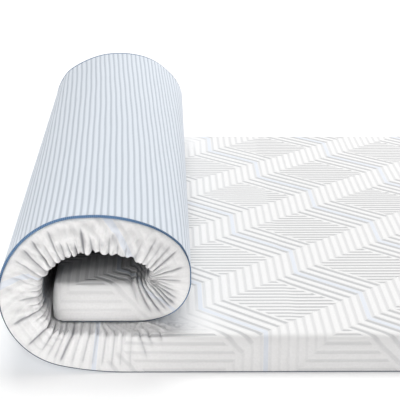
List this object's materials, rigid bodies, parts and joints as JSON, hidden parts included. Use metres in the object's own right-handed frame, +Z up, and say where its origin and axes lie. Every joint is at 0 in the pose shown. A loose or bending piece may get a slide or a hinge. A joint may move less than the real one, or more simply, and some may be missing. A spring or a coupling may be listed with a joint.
{
  "type": "mattress topper",
  "caption": "Queen mattress topper with a white quilted top, ribbed blue-grey underside and blue piping, half rolled up from one end.",
  "frame": {"origin": "middle of the half-rolled topper's box, on the floor it lies on", "axes": "+Z up from the floor, +Y along the roll towards its back end, +X from the roll towards the flat end"},
  "size_m": [1.3394, 1.5914, 0.3263],
  "materials": {
    "white_knit": "soft matt knit",
    "ribbed_knit": "matt ribbed knit",
    "blue_cord": "woven cord"
  },
  "bodies": {
    "root": {"filled_cover": "white_knit", "bottom_panel": "ribbed_knit", "piping": "blue_cord"}
  },
  "joints": []
}
